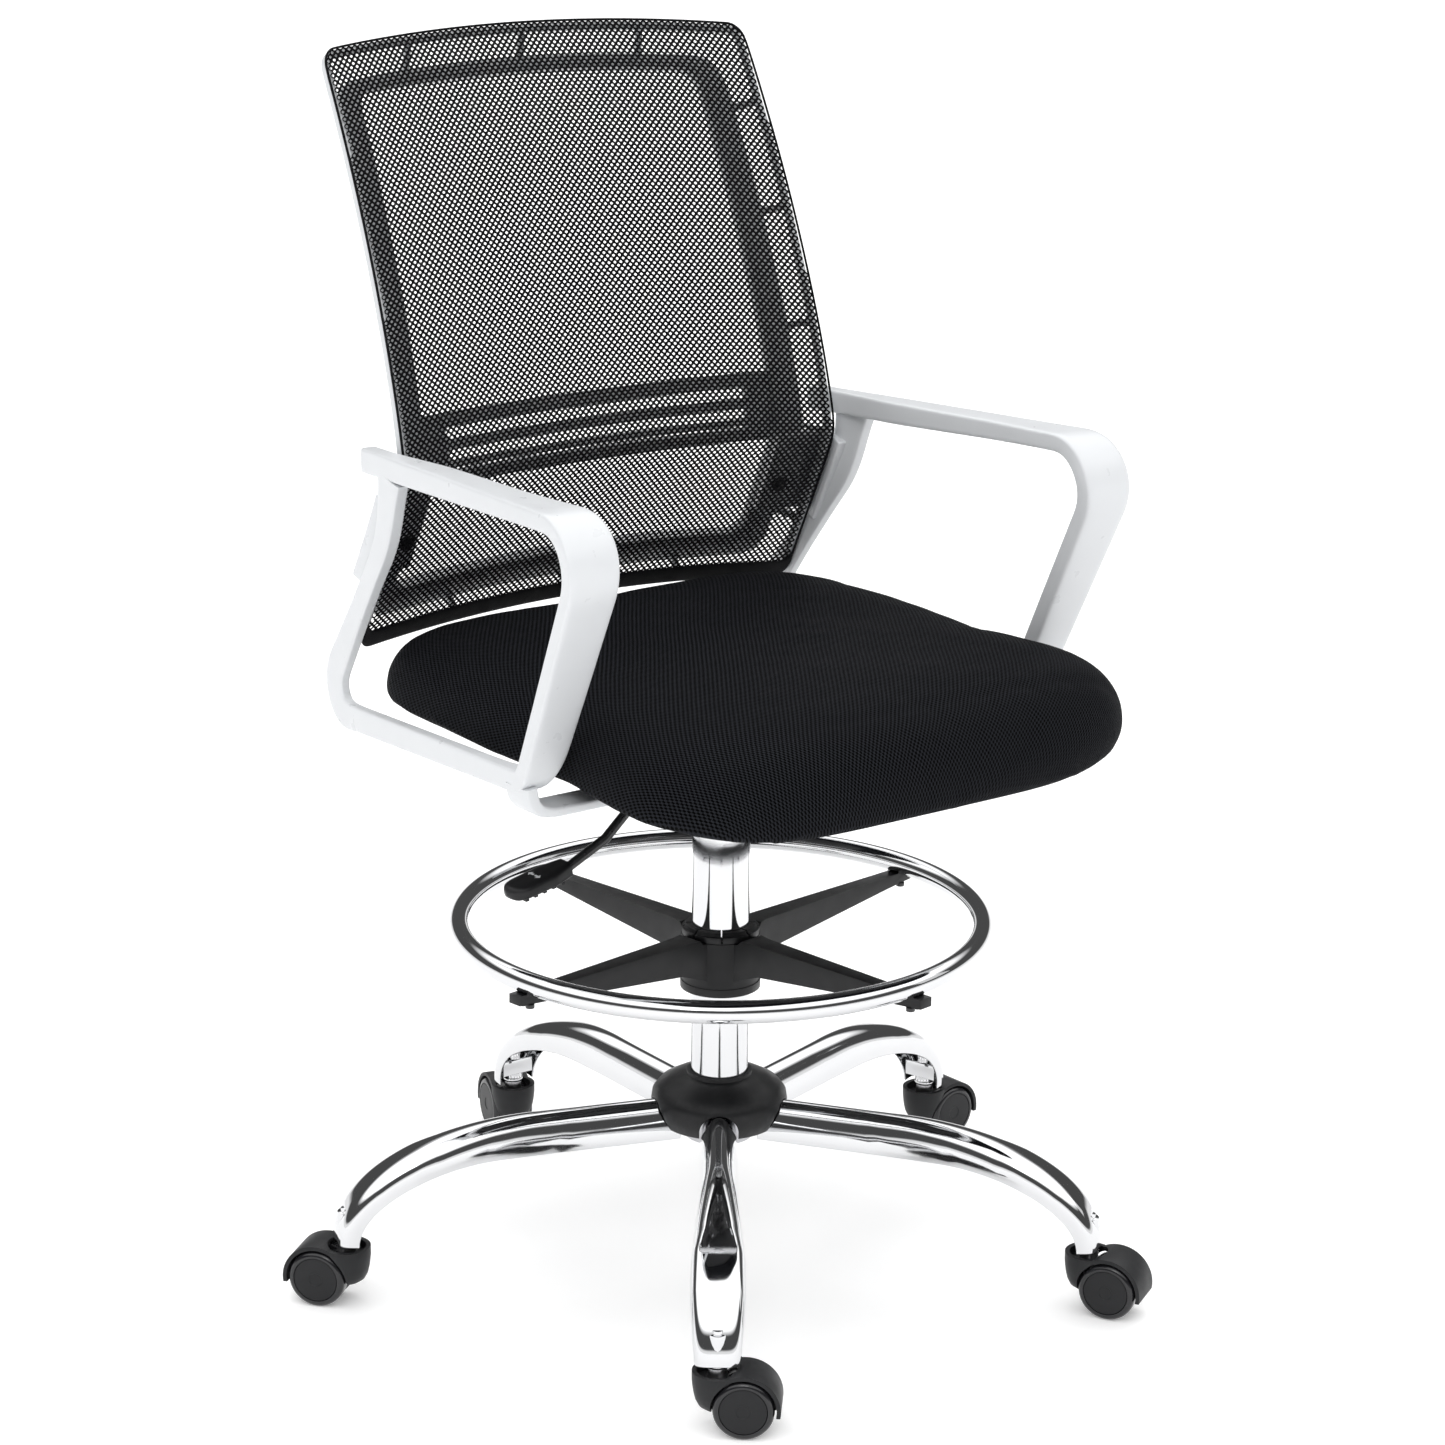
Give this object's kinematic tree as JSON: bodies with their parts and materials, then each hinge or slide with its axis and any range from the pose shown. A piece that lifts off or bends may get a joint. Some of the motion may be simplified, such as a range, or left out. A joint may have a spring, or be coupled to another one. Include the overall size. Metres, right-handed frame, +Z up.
{
  "type": "drafting chair",
  "caption": "Drafting chair with a five-star chrome base on casters, a gas-lift column, an adjustable foot ring, loop arms, a padded seat and a mesh back.",
  "frame": {"origin": "on the column's axis at floor level, under the middle of the star base", "axes": "+Z up; -Y towards the seat's front; +X towards the sitter's left"},
  "size_m": [0.7347, 0.717, 1.0554],
  "materials": {
    "chrome_steel": "polished chrome plating",
    "zinc_steel": "zinc plated",
    "black_nylon": "fine moulded grain",
    "wheel_nylon": "matt face with a glossy rim",
    "black_steel": "black powder coat",
    "white_plastic": "satin",
    "seat_fabric": "spacer mesh over foam",
    "back_mesh_fabric": "open knitted mesh"
  },
  "bodies": {
    "base": {"base_hub": "zinc_steel", "leg_1": "chrome_steel", "leg_2": "chrome_steel", "leg_3": "chrome_steel", "leg_4": "chrome_steel", "leg_5": "chrome_steel", "leg_nut_plates": "zinc_steel", "leg_bolts": "black_steel", "hub_cover": "black_nylon", "caster_sockets": "chrome_steel", "outer_column": "chrome_steel", "guide_bush": "black_nylon", "thrust_bearing": "zinc_steel"},
    "caster_1": {"caster_1_stem": "zinc_steel", "caster_1_hood": "black_nylon", "caster_1_axle": "zinc_steel"},
    "caster_1_wheel_a": {"caster_1_wheel_a": "wheel_nylon"},
    "caster_1_wheel_b": {"caster_1_wheel_b": "wheel_nylon"},
    "caster_2": {"caster_2_stem": "zinc_steel", "caster_2_hood": "black_nylon", "caster_2_axle": "zinc_steel"},
    "caster_2_wheel_a": {"caster_2_wheel_a": "wheel_nylon"},
    "caster_2_wheel_b": {"caster_2_wheel_b": "wheel_nylon"},
    "caster_3": {"caster_3_stem": "zinc_steel", "caster_3_hood": "black_nylon", "caster_3_axle": "zinc_steel"},
    "caster_3_wheel_a": {"caster_3_wheel_a": "wheel_nylon"},
    "caster_3_wheel_b": {"caster_3_wheel_b": "wheel_nylon"},
    "caster_4": {"caster_4_stem": "zinc_steel", "caster_4_hood": "black_nylon", "caster_4_axle": "zinc_steel"},
    "caster_4_wheel_a": {"caster_4_wheel_a": "wheel_nylon"},
    "caster_4_wheel_b": {"caster_4_wheel_b": "wheel_nylon"},
    "caster_5": {"caster_5_stem": "zinc_steel", "caster_5_hood": "black_nylon", "caster_5_axle": "zinc_steel"},
    "caster_5_wheel_a": {"caster_5_wheel_a": "wheel_nylon"},
    "caster_5_wheel_b": {"caster_5_wheel_b": "wheel_nylon"},
    "rod": {"piston_rod": "zinc_steel", "retaining_clip": "zinc_steel"},
    "seat": {"gas_cylinder": "black_steel", "seat_mechanism": "black_steel", "seat_pan": "black_nylon", "seat_cushion": "seat_fabric", "seat_bolts": "zinc_steel", "arm_right": "white_plastic", "arm_left": "white_plastic", "arm_bolts": "zinc_steel", "back_frame": "white_plastic", "back_rim": "white_plastic", "lumbar_support": "white_plastic", "back_mesh": "back_mesh_fabric", "back_bolts": "black_steel"},
    "height_lever": {"release_lever": "black_steel", "lever_paddle": "black_nylon"},
    "valve_button": {"release_button": "zinc_steel"},
    "ring_sleeve": {"ring_collet": "black_nylon"},
    "ring": {"ring_hub": "black_nylon", "foot_ring": "chrome_steel", "ring_screws": "black_steel"}
  },
  "joints": [
    {"name": "caster_1_swivel", "type": "hinge", "parent": "base", "child": "caster_1", "pos_m": [-0.20101, -0.26674, 0.05], "axis": [0, 0, 1], "continuous": true},
    {"name": "caster_1_roll_a", "type": "hinge", "parent": "caster_1", "child": "caster_1_wheel_a", "pos_m": [-0.1844, -0.28118, 0.025], "axis": [0.6561, 0.7547, 0], "continuous": true},
    {"name": "caster_1_roll_b", "type": "hinge", "parent": "caster_1", "child": "caster_1_wheel_b", "pos_m": [-0.1844, -0.28118, 0.025], "axis": [0.6561, 0.7547, 0], "continuous": true},
    {"name": "caster_2_swivel", "type": "hinge", "parent": "base", "child": "caster_2", "pos_m": [0.19157, -0.2736, 0.05], "axis": [0, 0, 1], "continuous": true},
    {"name": "caster_2_roll_a", "type": "hinge", "parent": "caster_2", "child": "caster_2_wheel_a", "pos_m": [0.20224, -0.29284, 0.025], "axis": [0.8746, 0.4848, 0], "continuous": true},
    {"name": "caster_2_roll_b", "type": "hinge", "parent": "caster_2", "child": "caster_2_wheel_b", "pos_m": [0.20224, -0.29284, 0.025], "axis": [0.8746, 0.4848, 0], "continuous": true},
    {"name": "caster_3_swivel", "type": "hinge", "parent": "base", "child": "caster_3", "pos_m": [0.31941, 0.09765, 0.05], "axis": [0, 0, 1], "continuous": true},
    {"name": "caster_3_roll_a", "type": "hinge", "parent": "caster_3", "child": "caster_3_wheel_a", "pos_m": [0.34138, 0.0988, 0.025], "axis": [-0.0523, 0.9986, 0], "continuous": true},
    {"name": "caster_3_roll_b", "type": "hinge", "parent": "caster_3", "child": "caster_3_wheel_b", "pos_m": [0.34138, 0.0988, 0.025], "axis": [-0.0523, 0.9986, 0], "continuous": true},
    {"name": "caster_4_swivel", "type": "hinge", "parent": "base", "child": "caster_4", "pos_m": [0.00583, 0.33395, 0.05], "axis": [0, 0, 1], "continuous": true},
    {"name": "caster_4_roll_a", "type": "hinge", "parent": "caster_4", "child": "caster_4_wheel_a", "pos_m": [0.01152, 0.3552, 0.025], "axis": [-0.9659, 0.2588, 0], "continuous": true},
    {"name": "caster_4_roll_b", "type": "hinge", "parent": "caster_4", "child": "caster_4_wheel_b", "pos_m": [0.01152, 0.3552, 0.025], "axis": [-0.9659, 0.2588, 0], "continuous": true},
    {"name": "caster_5_swivel", "type": "hinge", "parent": "base", "child": "caster_5", "pos_m": [-0.3158, 0.10874, 0.05], "axis": [0, 0, 1], "continuous": true},
    {"name": "caster_5_roll_a", "type": "hinge", "parent": "caster_5", "child": "caster_5_wheel_a", "pos_m": [-0.32935, 0.12608, 0.025], "axis": [-0.788, -0.6157, 0], "continuous": true},
    {"name": "caster_5_roll_b", "type": "hinge", "parent": "caster_5", "child": "caster_5_wheel_b", "pos_m": [-0.32935, 0.12608, 0.025], "axis": [-0.788, -0.6157, 0], "continuous": true},
    {"name": "seat_swivel", "type": "hinge", "parent": "base", "child": "rod", "pos_m": [0, 0, 0.128], "axis": [0, 0, 1], "continuous": true},
    {"name": "seat_height", "type": "slide", "parent": "rod", "child": "seat", "axis": [0, 0, 1], "range_m": [0, 0.2]},
    {"name": "lever_lift", "type": "hinge", "parent": "seat", "child": "height_lever", "pos_m": [-0.024, -0.02, 0.448], "axis": [0, 1, 0], "range_deg": [0, 5], "stiffness_Nm_per_rad": 6, "springref_deg": -2.86},
    {"name": "valve_press", "type": "slide", "parent": "seat", "child": "valve_button", "axis": [0, 0, -1], "range_m": [0, 0.00229]},
    {"name": "ring_height", "type": "slide", "parent": "base", "child": "ring_sleeve", "axis": [0, 0, 1], "range_m": [-0.06, 0.05]},
    {"name": "ring_lock_turn", "type": "hinge", "parent": "ring_sleeve", "child": "ring", "pos_m": [0, 0, 0.28], "axis": [0, 0, 1], "range_deg": [0, 30]}
  ],
  "couplings": [
    {"joint": "valve_press", "follows": "lever_lift", "m_per_rad": 0.024}
  ]
}
